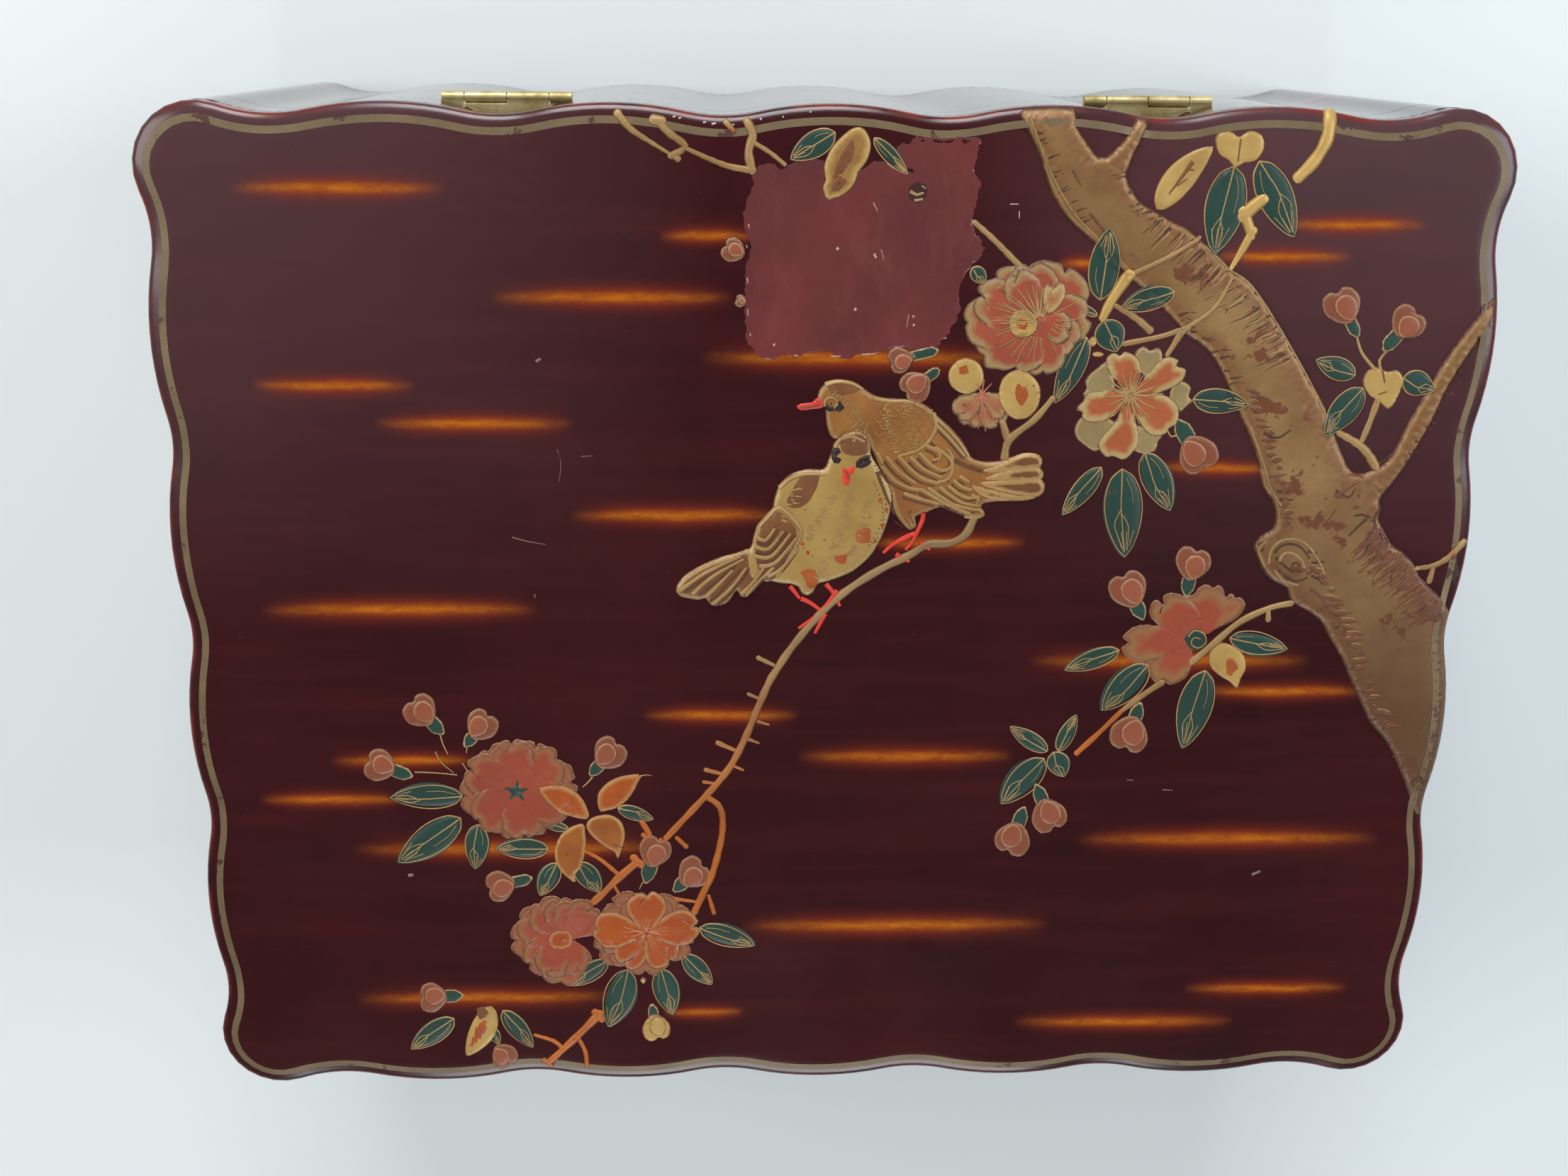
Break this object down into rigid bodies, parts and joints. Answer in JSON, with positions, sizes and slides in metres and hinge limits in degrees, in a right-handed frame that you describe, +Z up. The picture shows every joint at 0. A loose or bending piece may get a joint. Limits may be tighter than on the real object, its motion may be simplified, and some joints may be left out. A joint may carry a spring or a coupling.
{
  "type": "sewing box",
  "caption": "Lacquered sewing box with a wave-edged outline, hinged lid, lock, lift-out tray with covered compartments and a pincushion.",
  "frame": {"origin": "middle of the underside of the base, where the box stands", "axes": "+X to the right along the width, +Y towards the hinges at the back, +Z up out of the lid"},
  "size_m": [0.35, 0.283, 0.15],
  "materials": {
    "outer_lacquer": "gloss lacquer",
    "inner_lacquer": "satin lacquer",
    "bare_wood": "planed",
    "silk_lining": "woven silk on card",
    "cushion_silk": "woven silk",
    "brass": "dulled",
    "steel": "dulled",
    "turned_bone": "polished bone"
  },
  "bodies": {
    "case": {"base_board": "outer_lacquer", "case_leaf_nails": "brass", "case_wall_back": "outer_lacquer", "case_wall_front": "outer_lacquer", "case_wall_left": "outer_lacquer", "case_wall_right": "outer_lacquer", "escutcheon": "brass", "escutcheon_pins": "brass", "floor_lining": "silk_lining", "hinge_case_leaf_left": "brass", "hinge_case_leaf_right": "brass", "hinge_pin_left": "steel", "hinge_pin_right": "steel", "liner_back": "inner_lacquer", "liner_front": "inner_lacquer", "liner_left": "inner_lacquer", "liner_right": "inner_lacquer", "lock_case": "brass", "lock_nails": "brass", "tray_ledge_left": "bare_wood", "tray_ledge_right": "bare_wood"},
    "lid": {"hinge_lid_leaf_left": "brass", "hinge_lid_leaf_right": "brass", "keeper_lug": "brass", "keeper_nails": "brass", "lid_board": "outer_lacquer", "lid_leaf_nails": "brass", "lid_lining": "silk_lining", "lid_rim_back": "outer_lacquer", "lid_rim_front": "outer_lacquer", "lid_rim_left": "outer_lacquer", "lid_rim_right": "outer_lacquer", "lock_keeper": "brass"},
    "bolt": {"lock_bolt": "steel"},
    "tray": {"cross_divider_left": "inner_lacquer", "cross_divider_right": "inner_lacquer", "long_divider_back": "inner_lacquer", "long_divider_front": "inner_lacquer", "pincushion": "cushion_silk", "pincushion_board": "bare_wood", "tray_floor": "inner_lacquer", "tray_wall_back": "inner_lacquer", "tray_wall_front": "inner_lacquer", "tray_wall_left": "inner_lacquer", "tray_wall_right": "inner_lacquer"},
    "cover_front_left_body": {"cover_front_left": "inner_lacquer", "knob_front_left": "turned_bone"},
    "cover_front_right_body": {"cover_front_right": "inner_lacquer", "knob_front_right": "turned_bone"},
    "cover_back_left_body": {"cover_back_left": "inner_lacquer", "knob_back_left": "turned_bone"},
    "cover_back_right_body": {"cover_back_right": "inner_lacquer", "knob_back_right": "turned_bone"}
  },
  "joints": [
    {"name": "lid_hinge", "type": "hinge", "parent": "case", "child": "lid", "pos_m": [0, 0.1403, 0.1248], "axis": [-1, 0, 0], "range_deg": [0, 105]},
    {"name": "bolt_slide", "type": "slide", "parent": "case", "child": "bolt", "axis": [-1, 0, 0], "range_m": [0, 0.004]},
    {"name": "tray_lift", "type": "slide", "parent": "case", "child": "tray", "axis": [0, 0, 1], "range_m": [0, 0.008]},
    {"name": "cover_front_left_lift", "type": "slide", "parent": "tray", "child": "cover_front_left_body", "axis": [0, 0, 1], "range_m": [0, 0.008]},
    {"name": "cover_front_right_lift", "type": "slide", "parent": "tray", "child": "cover_front_right_body", "axis": [0, 0, 1], "range_m": [0, 0.008]},
    {"name": "cover_back_left_lift", "type": "slide", "parent": "tray", "child": "cover_back_left_body", "axis": [0, 0, 1], "range_m": [0, 0.008]},
    {"name": "cover_back_right_lift", "type": "slide", "parent": "tray", "child": "cover_back_right_body", "axis": [0, 0, 1], "range_m": [0, 0.008]}
  ]
}
